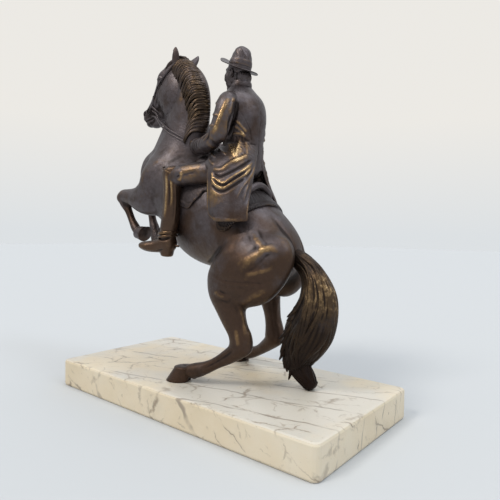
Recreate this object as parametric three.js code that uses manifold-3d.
// A bronze horse and rider, cast as one, on a marble plinth. The horse sits back on bent hind
// legs with its forelegs folded, and its tail reaches the plinth behind. The rider sits upright
// in a long coat and a soft hat, with both hands on the reins.
// Millimetres, +Z up. The horse looks along -X and its left, the near side, is towards -Y.
// The origin is the middle of the plinth's underside.
import * as THREE from 'three';
import { mergeVertices } from 'three/addons/utils/BufferGeometryUtils.js';
import Module from 'manifold-3d';

const wasm = await Module();
wasm.setup();

// Driving dimensions.
const PLINTH = { length: 348, width: 170, thickness: 30, cornerRadius: 4, edgeRadius: 2.5 };
const FIGURE_HEIGHT = 361; // from the soles of the hind hooves to the tip of the near ear

// The figure's points and radii are written for a height of 361 above the plinth's top, as
// shares of the height in effect, and CAST brings each of them to FIGURE_HEIGHT.
const DRAWN_HEIGHT = 361;
const CAST = FIGURE_HEIGHT / DRAWN_HEIGHT;

// How the rounded forms are cut into flat faces.
const SHARE_OF_ROUND_END = 0.12;
const CROWDING = 0.6 / (2 * Math.PI);

const BRONZE = { color: 0x4a3527, roughness: 0.38, metalness: 0.9 };
const MARBLE = { color: 0xdcd3c0, roughness: 0.35, metalness: 0 };

const degrees = THREE.MathUtils.degToRad;
const vector = ([x, y, z]) => new THREE.Vector3(x, y, z);
const farSide = (points) => points.map(([x, y, ...rest]) => [x, -y, ...rest]);
const bothSides = (make, points, ...rest) => [make(points, ...rest), make(farSide(points), ...rest)];
const smooth = (points) => new THREE.CatmullRomCurve3(points.map(vector), false, 'centripetal');

// A closed triangle mesh as a solid that can be joined and cut.
function solid(geometry) {
  const bare = new THREE.BufferGeometry();
  const flat = geometry.index ? geometry.toNonIndexed() : geometry;
  bare.setAttribute('position', flat.getAttribute('position'));
  const merged = mergeVertices(bare, 1e-4);
  const index = merged.index.array;
  const whole = [];
  for (let i = 0; i < index.length; i += 3) {
    const [a, b, c] = [index[i], index[i + 1], index[i + 2]];
    if (a !== b && b !== c && c !== a) whole.push(a, b, c);
  }
  return new wasm.Manifold(new wasm.Mesh({
    numProp: 3,
    vertProperties: new Float32Array(merged.attributes.position.array),
    triVerts: new Uint32Array(whole),
  }));
}

const joined = (solids) => solids.reduce((sum, next) => sum.add(next));

// Every vertex of a geometry moved by `place`, a function from a Vector3 to a Vector3 in the
// figure's drawn size, and brought to its cast size.
function reshaped(geometry, place) {
  const position = geometry.attributes.position;
  for (let i = 0; i < position.count; i++) {
    const p = place(new THREE.Vector3().fromBufferAttribute(position, i)).multiplyScalar(CAST);
    position.setXYZ(i, p.x, p.y, p.z);
  }
  return solid(geometry);
}

// A rounded form carried along a smooth spine. A station is [x, y, z, depth, width]: a point of
// the spine, the half-depth in the plane square to `across`, and the half-width along it.
// at(t, angle, lift) is the point of the form's skin at the share t of its length. The angle
// is 0 below the spine, where it runs along +X, and PI above it, by way of the far side.
function form(stations, across = [0, 1, 0]) {
  const spine = smooth(stations);
  const sizes = new THREE.CatmullRomCurve3(
    stations.map(([, , , depth, width = depth]) => new THREE.Vector3(depth, width, 0)),
    false, 'catmullrom');
  const sideways = vector(across);
  const at = (t, angle, lift = 0, swell = 1) => {
    const tangent = spine.getTangent(t);
    const side = sideways.clone().addScaledVector(tangent, -sideways.dot(tangent)).normalize();
    const down = new THREE.Vector3().crossVectors(side, tangent);
    const size = sizes.getPoint(t);
    return spine.getPoint(t)
      .addScaledVector(down, (size.x * swell + lift) * Math.cos(angle))
      .addScaledVector(side, (size.y * swell + lift) * Math.sin(angle));
  };
  return { at };
}

// The form as a solid. Rings crowd towards the two ends, which close like the ends of an egg,
// and the flat-sided section has the area of the round one.
function sweep(stations, { sides = 8, rings = 6, across } = {}) {
  const { at } = form(stations, across);
  const fullness = Math.sqrt((2 * Math.PI / sides) / Math.sin(2 * Math.PI / sides));
  return reshaped(new THREE.SphereGeometry(1, sides, rings), (p) => {
    const along = Math.acos(THREE.MathUtils.clamp(p.y, -1, 1)) / Math.PI;
    const t = THREE.MathUtils.clamp(along - CROWDING * Math.sin(2 * Math.PI * along), 0, 1);
    const closing = Math.min(1, t / SHARE_OF_ROUND_END, (1 - t) / SHARE_OF_ROUND_END);
    return at(t, Math.atan2(p.z, p.x), 0, fullness * Math.sqrt(1 - (1 - closing) ** 2));
  });
}

// A cord or strap of one thickness through a list of points.
const cord = (points, radius, rings = 6, sides = 4) =>
  sweep(points.map((p) => [...p, radius]), { sides, rings, across: [0.3, 1, 0.2] });

// An egg given as [x, y, z, and its three half-axes], turned about Y by `pitch` degrees.
function egg([x, y, z, ...radii], { sides = 6, rings = 4, pitch = 0 } = {}) {
  const centre = new THREE.Vector3(x, y, z);
  const upright = new THREE.Vector3(0, 1, 0);
  return reshaped(new THREE.SphereGeometry(1, sides, rings), (p) =>
    new THREE.Vector3(p.x * radii[0], -p.z * radii[1], p.y * radii[2])
      .applyAxisAngle(upright, degrees(pitch)).add(centre));
}

// A sheet of even thickness whose middle is surface(u, v), with u and v from 0 to 1.
function sheet(surface, thickness, columns, rows) {
  const normal = normalTo(surface);
  return reshaped(new THREE.BoxGeometry(1, 1, 1, columns, rows, 1), (p) => {
    const [u, v] = [p.x + 0.5, p.y + 0.5];
    return surface(u, v).addScaledVector(normal(u, v), thickness * p.z);
  });
}

function normalTo(surface) {
  const step = 0.01;
  return (u, v) => {
    const along = surface(Math.min(1, u + step), v).sub(surface(Math.max(0, u - step), v));
    const up = surface(u, Math.min(1, v + step)).sub(surface(u, Math.max(0, v - step)));
    return along.cross(up).normalize();
  };
}

// A surface stretched smoothly over several edge curves, each a list of points from top to hem.
function stretched(edges) {
  const curves = edges.map(smooth);
  return (u, v) => {
    const across = curves.map((curve) => curve.getPoint(v));
    return new THREE.CatmullRomCurve3(across, false, 'centripetal').getPoint(u);
  };
}

const NECK = [
  [-72, 0, 196, 45, 34], [-71, 0, 222, 41, 31], [-65.5, 0, 244, 36.5, 25], [-59.5, 0, 262, 33.5, 20],
  [-54.5, 0, 279, 31, 17.5], [-49, 0, 296, 27, 16], [-49, 0, 312, 24, 14.5], [-57, 0, 328, 19, 13],
  [-66, 0, 337, 13, 11], [-72, 0, 340, 8, 8],
];
const TRUNK = [
  [-106, 0, 231, 12, 14], [-96, 0, 225, 28, 26], [-74, 0, 212, 38, 36], [-46, 0, 192, 46, 40],
  [-24, 0, 179, 54, 42], [-3, 0, 168, 54, 43], [25, 0, 155, 46, 42], [50, 0, 142, 39, 40], [70, 0, 131, 33, 35],
  [86, 0, 123, 23, 26], [95, 0, 118, 12, 15],
];
const BREAST = [
  [-86, 0, 245, 14, 12], [-92, 0, 236, 24, 19], [-97, 0, 226, 28.5, 24], [-96, 0, 214, 27, 26],
  [-92, 0, 202, 18, 20],
];
const SHOULDER = [
  [-60, -20, 236, 14, 8], [-70, -25, 222, 23, 11], [-80, -27, 205, 23, 14],
  [-82, -27, 191, 19, 13], [-78, -26, 180, 11, 9],
];

// The horse's head. Eggs are single masses, and the others follow a spine.
const SKULL = [
  [-60, 0, 344, 9, 9], [-71, 0, 336, 16, 14], [-83, 0, 325, 18, 14.5], [-95.5, 0, 312, 15, 11.5],
  [-107, 0, 301, 12.5, 9], [-115, 0, 293, 12, 9], [-119, 0, 287, 10.5, 9.5], [-121, 0, 283, 5, 6],
];
const JAW = [
  [-68, 0, 308, 12, 11], [-82, 0, 298, 12, 10], [-98, 0, 289, 9, 8], [-110, 0, 284, 6.5, 7],
  [-117, 0, 282, 4, 5],
];
const JOWL = [-71, -8, 311, 19, 8.5, 19];
const BROW = [-86, -11, 331.5, 10, 5, 6];
const NOSTRIL = [-121, -6.5, 295, 4.5, 3, 4.5];
const LIPS = [-119, 0, 284, 5.5, 6, 4.5];
const CHIN = [-109, 0, 281, 6, 6, 3.5];
const POLL_TUFT = [-62, 0, 346, 6, 6, 6];
const NEAR_EAR = [
  [-65.5, -8, 340, 4, 3], [-65, -10, 349, 4.6, 3.2], [-63.5, -11.5, 355.5, 3.4, 2.4],
  [-62.5, -12, 361, 1, 0.8],
];
const FAR_EAR = [
  [-62, 7, 340, 4, 3], [-60.5, 12, 347, 4.2, 3], [-58.5, 16, 353, 3, 2], [-57.5, 19, 358.5, 1, 0.8],
];

// The folded forelegs.
const NEAR_FOREARM = [
  [-68, -24, 190, 15, 11], [-86, -27, 189.5, 20, 13], [-103, -27, 190, 16.5, 12.5],
  [-118, -26, 192.5, 11, 11], [-129, -26, 193.5, 9.5, 9], [-136.5, -26, 194.5, 8.5, 8.5],
  [-141.5, -26, 194, 7, 7.5],
];
const NEAR_FORE_CANNON = [
  [-137.5, -26, 196, 7.5, 8], [-136, -26, 188, 7, 7], [-129, -26, 177, 4.6, 4.6],
  [-121.5, -26, 165, 4.4, 4.6], [-115, -26, 157, 6, 6], [-110, -26, 152, 6, 6],
  [-104, -26, 150, 6, 6.5],
];
const NEAR_FORE_HOOF = {
  coronet: [-110, -26, 151.5], sole: [-97, -26, 149.5], facing: [0.95, 0, -0.3],
  toe: [-0.3, 0, -0.95], radii: [7.5, 9.6], length: 1,
};
const FAR_FOREARM = [
  [-76, 25, 190, 15, 11], [-96, 27, 190, 18, 13], [-116, 26, 191, 14, 12],
  [-136, 25, 194, 11, 9.5], [-148, 24, 196, 9.5, 8.5], [-156, 24, 196, 7.5, 8],
];
const FAR_FORE_CANNON = [
  [-154, 24, 198, 8, 8], [-153, 24, 190, 7.5, 7], [-148, 24, 178, 5.2, 5], [-145, 24, 167, 5, 5],
  [-142, 24, 159, 6.2, 6], [-139, 24, 154, 6, 6], [-136, 24, 150, 6, 6.5],
];
const FAR_FORE_HOOF = {
  coronet: [-140, 24, 154], sole: [-134, 24, 143], facing: [0.6, 0, -0.8], toe: [-0.8, 0, -0.6],
  radii: [7.3, 9.2], length: 1,
};

// The bent hind legs, each down to a hoof that stands on the plinth.
const NEAR_HAUNCH = [
  [77, -13, 148, 12, 10], [80, -22, 134, 30, 18], [65, -29, 120, 38, 21], [50, -33, 110, 33, 19],
  [39, -35, 104, 24, 16], [36, -35, 93, 15, 12],
];
const FAR_HAUNCH = [
  [69, 12, 143, 10, 9], [69, 19, 131, 26, 17], [60, 26, 119, 33, 20], [47, 33, 110, 30, 19],
  [39, 35, 104, 24, 16], [36, 35, 93, 15, 12],
];
const NEAR_GASKIN = [
  [36, -36, 112, 16, 13], [37, -36, 98, 18.5, 14], [43, -35, 83, 16.5, 12.5],
  [48.5, -34, 68, 13.5, 10.5], [54, -33, 56, 11.5, 9], [58, -33, 46, 13, 9], [60, -33, 38, 8, 7],
];
const NEAR_HIND_CANNON = [
  [69, -33, 51, 7, 7.5], [60, -33, 44.5, 10, 8.5], [45, -35, 33, 8, 6.5], [30, -38, 23.5, 6, 5.5],
  [18, -41, 17, 6.5, 6], [9, -43, 13, 9, 7.5], [1, -45, 11.5, 7, 7], [-6, -46.5, 10, 6, 7],
];
const NEAR_HIND_HOOF = {
  coronet: [-6, -46, 16], sole: [-13.5, -48.5, 0], facing: [0, 0, -1], toe: [-0.93, -0.36, 0],
  radii: [8.8, 11.3], length: 1.15,
};
const FAR_GASKIN = [
  [34, 37, 112, 16, 13], [35, 37, 98, 16, 13], [38.5, 37, 82, 12, 11.5], [42, 37, 66, 9.5, 9],
  [44, 37, 52, 9.5, 8.5], [46, 37, 41, 12, 9], [47, 37, 33, 7, 7],
];
const FAR_HIND_CANNON = [
  [56, 37, 45, 7, 7.5], [47, 37, 39, 9.5, 8.5], [34, 40, 29, 7.5, 6.5], [20, 44, 20, 6, 5.5],
  [9, 47, 15, 6.5, 6], [1, 49, 12.5, 8.5, 7.5], [-7, 51, 11.5, 7, 7], [-13, 52.5, 11, 6, 7],
];
const FAR_HIND_HOOF = {
  coronet: [-12, 52, 16], sole: [-19, 54, 0], facing: [0, 0, -1], toe: [-0.93, 0.36, 0],
  radii: [8.8, 11.3], length: 1.15,
};

// The tail, whose tip turns back over the plinth, with locks lying along it.
const TAIL = [
  [86, 0, 134, 7, 7], [97, 0, 129.5, 8, 8], [108, 1, 121, 10, 8.5], [117, 1, 108, 13, 11],
  [121, 2, 91, 16.5, 14], [118, 4, 71, 19, 16], [109, 6, 54, 18, 15], [99, 9, 38, 15.5, 12],
  [94, 11, 24, 10, 10],
];
const TAIL_TIP = [[87, 12, 32, 10, 8], [95, 13, 20, 9.5, 8], [103, 15, 9, 7.5, 8], [109, 16, 1, 5, 7]];
const TAIL_LOCKS = { count: 8, from: 0.14, sunk: -1.2, twist: 0.5, radii: [2, 3.6, 4.2, 4, 3.4, 1.4] };
const TAIL_FLICKS = [
  [[88, 8, 46], [81, 7, 39], [76, 7, 35]], [[86, 10, 36], [80, 9, 27], [76, 9, 22]],
  [[91, 12, 26], [85, 11, 18], [80, 11, 14]], [[96, 12, 19], [91, 11, 11], [87, 11, 7]],
];

// The mane hangs on the near side in locks rooted along the crest. A lock's points are offsets
// from its root, in x and z, laid on the neck.
const CREST = [
  [-60, 0, 346], [-51, 0, 343], [-43, 0, 336.5], [-35, 0, 326.5], [-28, 0, 313.5],
  [-22.5, 0, 299], [-21, 0, 285], [-23, 0, 272], [-27, 0, 261],
];
const MANE = {
  locks: 12, lock: [[2, 0], [-5, 1.5], [-11, -0.5], [-15, -5], [-17, -12]],
  radii: [2.4, 3.2, 3.2, 2.6, 1],
};

// Bridle and reins, on the near side; the far side mirrors them.
const CHEEKPIECE = [
  [-64, -12.5, 341], [-73, -14.5, 333], [-85, -15.8, 323], [-97, -12.5, 314], [-104, -10.2, 306],
  [-109, -10, 298],
];
const NOSEBAND = [[-114, -3, 308], [-109, -9, 303], [-101, -10, 297], [-95, -6, 291], [-93, 0, 288]];
const REIN = [
  [-110, -10, 297], [-99, -10, 292], [-92, -12, 284], [-80, -18, 277], [-64, -21, 267],
  [-46, -19, 257], [-33, -11, 248],
];
const STRAP_RADIUS = 1.3;

// The saddle. The cloth's edge is given as shares of the trunk's length and degrees round from
// the back, for one side.
const CLOTH_EDGE = [
  [0.42, 83], [0.455, 84], [0.49, 72], [0.52, 56], [0.56, 58], [0.61, 78], [0.63, 84],
  [0.655, 80], [0.67, 66], [0.677, 42], [0.688, 18],
];
const CLOTH_THICKNESS = 3;
const CLOTH_LIFT = 1.2;
const CANTLE = [
  [49, -21, 188, 4, 6], [50, -12, 199, 5, 6], [50, 0, 204, 5, 6], [50, 12, 199, 5, 6],
  [49, 21, 188, 4, 6],
];
const LAP = [-8, 0, 222, 30, 22, 16];

// The rider.
const TORSO = [
  [29, 0, 204, 20, 21], [28, 0, 218, 20, 20.5], [28, 0, 234, 20.5, 20.5], [28.5, 0, 250, 20.5, 22.5],
  [28, 0, 266, 23, 25.5], [27, 0, 281, 21, 26.5], [25.5, 0, 291, 16, 23.5], [25, 0, 298.5, 10, 13],
];
const RIDER_NECK = [[24, 0, 292, 8, 9], [22, 0, 302, 8, 8], [20, 0, 312, 9, 8]];
const COLLAR = { centre: [26, 0, 299], radii: [10.5, 10.5], thickness: 3, tilt: 12 };
const NEAR_ARM = [
  [29, -23, 290, 8, 7], [31.5, -30, 277, 9.5, 9.5], [30.5, -35, 261, 9.5, 9],
  [27, -37, 248, 9.5, 9], [22, -37, 240, 6, 6],
];
const NEAR_FOREARM_SLEEVE = [
  [25, -37, 244, 9, 8.5], [8, -33, 241, 8.5, 8], [-10, -24, 242, 7.5, 7], [-24, -15, 245, 7, 6.5],
];
const FAR_ARM = [
  [25, 23, 290, 8, 7], [20, 28, 277, 9.5, 9], [14.5, 30, 261, 9.5, 8.5], [12, 31, 248, 9.5, 8.5],
  [10, 31, 241, 6, 6],
];
const FAR_FOREARM_SLEEVE = [
  [15, 31, 244, 9, 8.5], [2, 27, 241, 8.5, 8], [-14, 20, 242, 7.5, 7], [-25, 12, 245, 7, 6.5],
];
const HAND = [-32, -9, 246, 7, 5, 6];
const THIGH = [
  [40, -14, 212, 14, 13], [16, -30, 212, 12.5, 12], [-8, -42, 210.5, 11, 11],
  [-25, -46, 208, 10.5, 10], [-33, -46, 206, 8, 9],
];
const SHIN = [
  [-31.5, -46, 216, 7, 7.5], [-29, -46, 204, 9.5, 9], [-27.5, -46, 188, 10, 9.5],
  [-29, -46, 170, 10.5, 9.5], [-33, -46, 154, 9.5, 9], [-35, -46, 139, 8.5, 8.5],
];
const BOOT_FOOT = [
  [-24, -46, 140, 7, 7], [-33, -47, 139.5, 9.5, 8.5], [-46, -50, 137, 7, 7.5], [-58, -54, 136.5, 5.5, 7.5],
  [-68, -57, 138, 3, 5],
];
const BOOT_HEEL = [[-33, -47, 136, 7, 7], [-34.5, -47, 130, 7, 7], [-35, -47, 126, 6, 6.5]];
const SPUR = [[-29, -46, 139], [-24, -45, 138], [-19, -44, 137]];

// The coat's skirts hang over the saddle on both sides, each stretched over edge curves from
// its front to its rear.
const NEAR_SKIRT = [
  [[20, -17, 228], [26, -45, 212], [27, -48, 196], [29, -49, 180], [32, -50, 166]],
  [[34, -16, 233], [38, -46, 212], [41, -51, 194], [43, -53, 177], [44, -53, 162]],
  [[43, -9, 236], [51, -35, 212], [54.5, -42, 194], [56.5, -45, 177], [57.5, -47, 162]],
  [[46, -2, 238], [53, -9, 220], [56, -17, 205], [62, -29, 186], [67.5, -38, 163.5]],
];
const FAR_SKIRT = [
  [[16, 17, 228], [10, 45, 212], [9, 49, 196], [9, 50, 180], [12, 50, 166]],
  [[30, 17, 232], [22, 40, 212], [23, 46, 194], [25, 48, 178], [28, 49, 163]],
  [[40, 11, 235], [35, 27, 212], [38, 36, 194], [42, 41, 178], [46, 45, 163]],
  [[45, 3, 238], [46, 9, 220], [48.5, 14, 205], [53, 20, 190], [61, 27, 168]],
];
const SKIRT_THICKNESS = 3;
// The pocket flap's edge and the folds of the near skirt, as shares of its width and height.
const POCKET_FLAP = [[0.14, 0.28], [0.28, 0.42], [0.43, 0.5], [0.57, 0.41], [0.74, 0.33], [0.93, 0.24]];
const FLAP_TOP = [[0.12, 0.28], [0.4, 0.27], [0.57, 0.23], [0.74, 0.18], [0.93, 0.12]];
const SKIRT_FOLDS = [
  [[0.98, 0.38], [0.88, 0.52], [0.77, 0.65], [0.73, 0.8]],
  [[0.97, 0.48], [0.88, 0.62], [0.85, 0.8], [0.83, 0.92]],
];

// The rider's head is a plain one on common proportions, under a soft hat tilted back.
const HEAD = [20, 0, 317, 13.5, 11, 14.5];
const RIDER_JAW = [15.5, 0, 309, 9, 8, 7.5];
const NOSE = [[9, 0, 321], [5.5, 0, 315], [8, 0, 313]];
const HAIR = [29, 0, 312, 6.5, 9.5, 8];
const RIDER_EAR = [20, -11, 314, 2.5, 1.5, 4];
const HAT_CROWN = [
  [20, 0, 314, 12, 11], [22.5, 0, 322, 12.5, 11.5], [25, 0, 332, 11, 10], [26.5, 0, 339, 8, 8],
  [27, 0, 343.5, 3, 4],
];
const BRIM = {
  centre: [21.7, 0, 324], halfLength: 19.5, halfWidth: 18, halfThickness: 1.6, slope: 0.5,
  droop: 0.006, curl: 0.02, curlFrom: -8,
};

// A hoof: rings parallel to the sole, from the coronet to the sole, longer towards the toe.
function hoof({ coronet, sole, facing, toe, radii, length }) {
  const [top, bottom] = [vector(coronet), vector(sole)];
  const forward = vector(toe).normalize();
  const side = vector(facing).cross(forward).normalize();
  return reshaped(new THREE.CylinderGeometry(1, 1, 1, 9, 1), (p) => {
    const t = 0.5 - p.y;
    const radius = THREE.MathUtils.lerp(...radii, t);
    return top.clone().lerp(bottom, t)
      .addScaledVector(forward, p.x * radius * length)
      .addScaledVector(side, p.z * radius);
  });
}

function horseHead() {
  return [
    sweep(SKULL, { rings: 7 }),
    sweep(JAW, { rings: 5 }),
    ...bothSides(([jowl]) => egg(jowl, { sides: 8 }), [JOWL]),
    ...bothSides(([brow]) => egg(brow, { sides: 5, pitch: -43 }), [BROW]),
    ...bothSides(([nostril]) => egg(nostril, { sides: 5, rings: 3 }), [NOSTRIL]),
    ...[LIPS, CHIN, POLL_TUFT].map((mass) => egg(mass, { sides: 5 })),
    sweep(NEAR_EAR, { sides: 5, rings: 4 }),
    sweep(FAR_EAR, { sides: 5, rings: 4 }),
  ];
}

function horseBody() {
  return [
    sweep(TRUNK, { sides: 14, rings: 10 }),
    sweep(NECK, { sides: 10, rings: 8 }),
    sweep(BREAST, { rings: 5 }),
    ...bothSides(sweep, SHOULDER, { rings: 5 }),
    sweep(NEAR_HAUNCH, { sides: 10, rings: 7 }),
    sweep(FAR_HAUNCH, { rings: 6 }),
  ];
}

function horseLegs() {
  return [
    ...[NEAR_FOREARM, FAR_FOREARM].map((upper) => sweep(upper, { sides: 8, rings: 6 })),
    ...[NEAR_FORE_CANNON, FAR_FORE_CANNON].map((shank) => sweep(shank, { sides: 6, rings: 7 })),
    ...[NEAR_GASKIN, FAR_GASKIN].map((upper) => sweep(upper, { sides: 8, rings: 7 })),
    ...[NEAR_HIND_CANNON, FAR_HIND_CANNON].map((shank) => sweep(shank, { sides: 6, rings: 8 })),
    ...[NEAR_FORE_HOOF, FAR_FORE_HOOF, NEAR_HIND_HOOF, FAR_HIND_HOOF].map(hoof),
  ];
}

// The half-width of a form at the point (x, z) of the upright middle plane.
function halfWidthAt(stations, x, z) {
  const { at } = form(stations);
  let [nearest, width] = [Infinity, 0];
  for (let t = 0; t <= 1; t += 0.02) {
    const [front, back] = [at(t, 0), at(t, Math.PI)];
    const axis = front.clone().sub(back);
    const share = ((x - back.x) * axis.x + (z - back.z) * axis.z) / axis.lengthSq();
    const gap = Math.hypot(x - back.x - share * axis.x, z - back.z - share * axis.z);
    if (gap < nearest) {
      nearest = gap;
      width = at(t, Math.PI / 2).y * 2 * Math.sqrt(Math.max(0, share * (1 - share)));
    }
  }
  return width;
}

function mane() {
  const crest = smooth(CREST);
  return Array.from({ length: MANE.locks }, (_, i) => {
    const root = crest.getPoint((i + 0.3) / MANE.locks);
    return sweep(MANE.lock.map(([dx, dz], k) => {
      const [x, z] = [root.x + dx, root.z + dz];
      return [x, k === 0 ? 0 : -halfWidthAt(NECK, x, z) - 0.6, z, MANE.radii[k]];
    }), { sides: 4, rings: 4 });
  });
}

function tail() {
  const { at } = form(TAIL);
  const { count, from, sunk, twist, radii } = TAIL_LOCKS;
  const locks = Array.from({ length: count }, (_, i) => sweep(radii.map((radius, k) => {
    const t = from + (1 - from) * k / (radii.length - 1);
    const angle = 2 * Math.PI * i / count + twist * Math.sin(4 * t + i);
    return [...at(t, angle, sunk), radius];
  }), { sides: 4, rings: 5 }));
  return [
    sweep(TAIL, { sides: 8, rings: 7 }), sweep(TAIL_TIP, { sides: 6, rings: 4 }), ...locks,
    ...TAIL_FLICKS.map((flick) => sweep(
      flick.map((point, k) => [...point, 4.5 - 1.7 * k]), { sides: 4, rings: 3 })),
  ];
}

function bridle() {
  const strap = (points) => cord(points, STRAP_RADIUS, points.length - 1);
  return [CHEEKPIECE, NOSEBAND, REIN].flatMap((points) => bothSides(strap, points));
}

// The saddle cloth lies on the trunk, from edge to edge over the back.
function saddle() {
  const { at } = form(TRUNK);
  const edge = new THREE.CatmullRomCurve3(CLOTH_EDGE.map(([t, reach]) => new THREE.Vector3(t, reach, 0)));
  const cloth = sheet((u, v) => {
    const { x: t, y: reach } = edge.getPoint(u);
    return at(t, Math.PI - degrees(reach) * (2 * v - 1), CLOTH_LIFT);
  }, CLOTH_THICKNESS, 10, 4);
  return [cloth, sweep(CANTLE, { sides: 6, rings: 6, across: [1, 0, 0] })];
}

function skirts() {
  const surface = stretched(NEAR_SKIRT);
  const normal = normalTo(surface);
  const raised = ([u, v]) => surface(u, v).addScaledVector(normal(u, v), -SKIRT_THICKNESS / 2 - 0.6);
  const ridge = (points, radius) => cord(points.map((p) => raised(p).toArray()), radius, 4, 3);
  return [
    sheet(surface, SKIRT_THICKNESS, 5, 4),
    sheet(stretched(FAR_SKIRT), SKIRT_THICKNESS, 4, 3),
    ridge(POCKET_FLAP, 1.2), ridge(FLAP_TOP, 1),
    ...SKIRT_FOLDS.map((fold) => ridge(fold, 1.6)),
  ];
}

function ring({ centre, radii, thickness, tilt }) {
  const [middle, axis] = [vector(centre), new THREE.Vector3(0, 1, 0)];
  return reshaped(new THREE.TorusGeometry(1, thickness / radii[0], 3, 10), (p) =>
    new THREE.Vector3(p.x * radii[0], p.y * radii[1], p.z * radii[0])
      .applyAxisAngle(axis, degrees(tilt)).add(middle));
}

function rider() {
  return [
    sweep(TORSO, { sides: 10, rings: 7 }), egg(LAP, { sides: 8 }),
    ring(COLLAR),
    ...[NEAR_ARM, NEAR_FOREARM_SLEEVE, FAR_ARM, FAR_FOREARM_SLEEVE].map(
      (arm) => sweep(arm, { rings: 5 })),
    ...bothSides(([hand]) => egg(hand), [HAND]),
    ...[THIGH, SHIN].flatMap((limb) => bothSides(sweep, limb, { rings: 5 })),
    ...bothSides(sweep, BOOT_FOOT, { sides: 6, rings: 4 }),
    ...bothSides(sweep, BOOT_HEEL, { sides: 6, rings: 3 }),
    ...bothSides(cord, SPUR, 1.2, 3),
  ];
}

function riderHead() {
  const { centre, halfLength, halfWidth, halfThickness, slope, droop, curl, curlFrom } = BRIM;
  const brim = reshaped(new THREE.SphereGeometry(1, 12, 4), (p) => {
    const [x, y] = [halfLength * p.x, -halfWidth * p.z];
    const upturn = x < curlFrom ? curl * (x - curlFrom) ** 2 : 0;
    const rise = halfThickness * p.y - slope * x - droop * y * y + upturn;
    return vector(centre).add(new THREE.Vector3(x, y, rise));
  });
  return [
    sweep(RIDER_NECK, { sides: 6, rings: 3 }), egg(HEAD, { sides: 8, rings: 6 }), egg(RIDER_JAW), egg(HAIR),
    ...bothSides(([ear]) => egg(ear, { sides: 5, rings: 3 }), [RIDER_EAR]),
    cord(NOSE, 1.8, 4), sweep(HAT_CROWN, { sides: 10, rings: 4 }), brim,
  ];
}

function geometryOf(manifold) {
  const mesh = manifold.getMesh();
  const geometry = new THREE.BufferGeometry();
  geometry.setAttribute('position', new THREE.BufferAttribute(mesh.vertProperties, 3));
  geometry.setIndex(new THREE.BufferAttribute(mesh.triVerts, 1));
  return geometry;
}

// The whole casting, cut level where it stands on the plinth and solid between its forms.
function figure() {
  const casting = joined([
    ...horseBody(), ...horseHead(), ...horseLegs(), ...mane(), ...tail(), ...bridle(),
    ...saddle(), ...skirts(), ...rider(), ...riderHead(),
  ]);
  const ground = new THREE.BoxGeometry(FIGURE_HEIGHT, FIGURE_HEIGHT, FIGURE_HEIGHT);
  ground.translate(0, 0, -FIGURE_HEIGHT / 2);
  const shells = casting.subtract(solid(ground)).decompose();
  return geometryOf(joined(shells.filter((shell) => shell.volume() > 0)));
}

function plinth() {
  const { length, width, thickness, cornerRadius, edgeRadius } = PLINTH;
  const [x, y, r] = [length / 2 - edgeRadius, width / 2 - edgeRadius, cornerRadius];
  const outline = new THREE.Shape();
  outline.moveTo(-x + r, -y).lineTo(x - r, -y).absarc(x - r, -y + r, r, -Math.PI / 2, 0)
    .lineTo(x, y - r).absarc(x - r, y - r, r, 0, Math.PI / 2)
    .lineTo(-x + r, y).absarc(-x + r, y - r, r, Math.PI / 2, Math.PI)
    .lineTo(-x, -y + r).absarc(-x + r, -y + r, r, Math.PI, 1.5 * Math.PI);
  const geometry = new THREE.ExtrudeGeometry(outline, {
    depth: thickness - 2 * edgeRadius, curveSegments: 2, bevelEnabled: true,
    bevelThickness: edgeRadius, bevelSize: edgeRadius, bevelSegments: 2,
  });
  geometry.translate(0, 0, edgeRadius);
  return geometryOf(solid(geometry));
}

function part(name, geometry, material, height) {
  const mesh = new THREE.Mesh(geometry, new THREE.MeshStandardMaterial(material));
  mesh.name = name;
  mesh.position.z = height;
  return mesh;
}

const group = new THREE.Group();
group.add(
  part('horse_and_rider', figure(), BRONZE, PLINTH.thickness),
  part('marble_plinth', plinth(), MARBLE, 0),
);

export default group;
